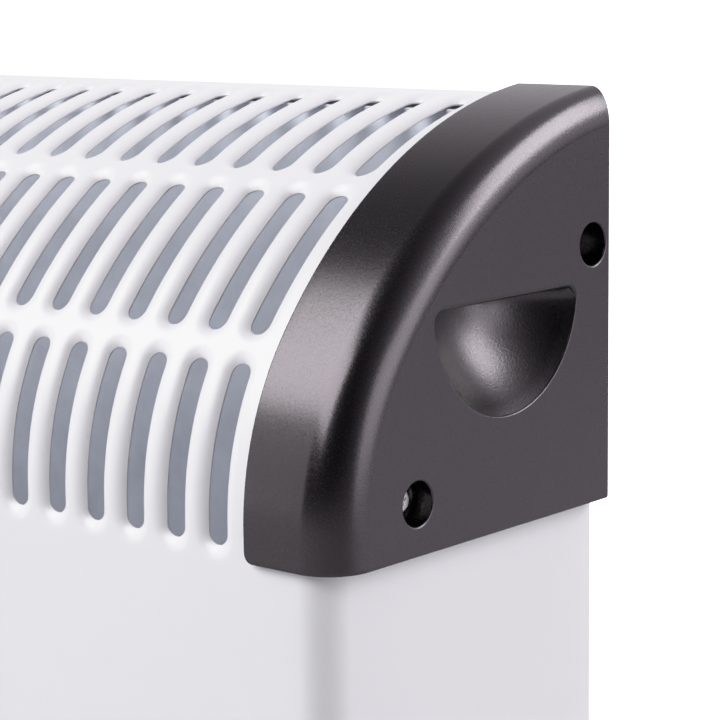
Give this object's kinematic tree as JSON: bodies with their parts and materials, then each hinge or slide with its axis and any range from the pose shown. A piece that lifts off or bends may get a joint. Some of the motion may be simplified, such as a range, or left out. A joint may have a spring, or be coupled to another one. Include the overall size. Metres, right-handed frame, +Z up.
{
  "type": "fan convector heater",
  "caption": "Free-standing electric convector heater with a curved slotted top, moulded end caps with hand recesses, a fan and end controls.",
  "frame": {"origin": "on the floor at the middle of the footprint", "axes": "+Z up, +X along the length towards the end with the controls, -Y towards the front"},
  "size_m": [0.5968, 0.2, 0.3903],
  "materials": {
    "white_sheet": "satin white powder coat",
    "cap_plastic": "fine-grained dark moulding",
    "galvanised": "galvanised sheet",
    "zinc_screw": "bright zinc plate",
    "rubber": "matt",
    "control_plastic": "fine-grained dark moulding",
    "knob_plastic": "satin",
    "rocker_plastic": "polished",
    "bakelite": "moulded phenolic",
    "bright_steel": "turned",
    "terminal_brass": "tinned edge",
    "mica": "flaky mica board",
    "ceramic": "unglazed",
    "coil_wire": "oxidised resistance wire",
    "fan_plastic": "moulded",
    "lamination": "stacked laminations",
    "winding": "taped winding",
    "wire_guard": "plated wire",
    "terminal_plastic": "moulded",
    "wire_sleeve": "glass-fibre sleeve"
  },
  "bodies": {
    "casing": {"front_shell": "white_sheet", "rear_panel": "white_sheet", "cap_brackets": "galvanised", "bottom_panel": "white_sheet", "end_cap_right": "cap_plastic", "end_cap_left": "cap_plastic", "end_cap_screws": "zinc_screw", "rear_panel_screws": "zinc_screw", "foot_right": "cap_plastic", "foot_left": "cap_plastic", "foot_pads": "rubber", "foot_screws": "zinc_screw", "control_panel": "control_plastic", "control_panel_screws": "zinc_screw", "thermostat_body": "bakelite", "low_heat_switch": "control_plastic", "high_heat_switch": "control_plastic", "fan_switch": "control_plastic", "switch_terminals": "terminal_brass", "heat_shield": "galvanised", "shield_spacers": "zinc_screw", "element_frame": "galvanised", "element_brackets": "galvanised", "mica_cards": "mica", "ceramic_bushings": "ceramic", "low_heat_coil": "coil_wire", "high_heat_coil": "coil_wire", "thermal_cutout": "bright_steel", "motor_stator": "lamination", "motor_coil": "winding", "motor_bridge_upper": "galvanised", "motor_bridge_lower": "galvanised", "motor_screws": "zinc_screw", "fan_bracket": "galvanised", "fan_guard": "wire_guard", "terminal_block": "terminal_plastic", "cord_bushing": "rubber", "wiring": "wire_sleeve"},
    "thermostat": {"thermostat_knob": "knob_plastic", "thermostat_shaft": "bright_steel"},
    "rocker_low_heat": {"low_heat_rocker": "rocker_plastic"},
    "rocker_high_heat": {"high_heat_rocker": "rocker_plastic"},
    "rocker_fan": {"fan_rocker": "rocker_plastic"},
    "fan": {"fan_impeller": "fan_plastic", "fan_shaft": "bright_steel", "motor_rotor": "lamination"}
  },
  "joints": [
    {"name": "thermostat_turn", "type": "hinge", "parent": "casing", "child": "thermostat", "pos_m": [0.2927, 0.004, 0.15], "axis": [-1, 0, 0], "range_deg": [0, 270]},
    {"name": "rocker_low_heat_tilt", "type": "hinge", "parent": "casing", "child": "rocker_low_heat", "pos_m": [0.2833, -0.0135, 0.098], "axis": [0, -1, 0], "range_deg": [0, 24]},
    {"name": "rocker_high_heat_tilt", "type": "hinge", "parent": "casing", "child": "rocker_high_heat", "pos_m": [0.2833, 0.004, 0.098], "axis": [0, -1, 0], "range_deg": [0, 24]},
    {"name": "rocker_fan_tilt", "type": "hinge", "parent": "casing", "child": "rocker_fan", "pos_m": [0.2833, 0.0215, 0.098], "axis": [0, -1, 0], "range_deg": [0, 24]},
    {"name": "fan_spin", "type": "hinge", "parent": "casing", "child": "fan", "pos_m": [0, 0, 0.06], "axis": [0, 0, 1], "continuous": true}
  ]
}
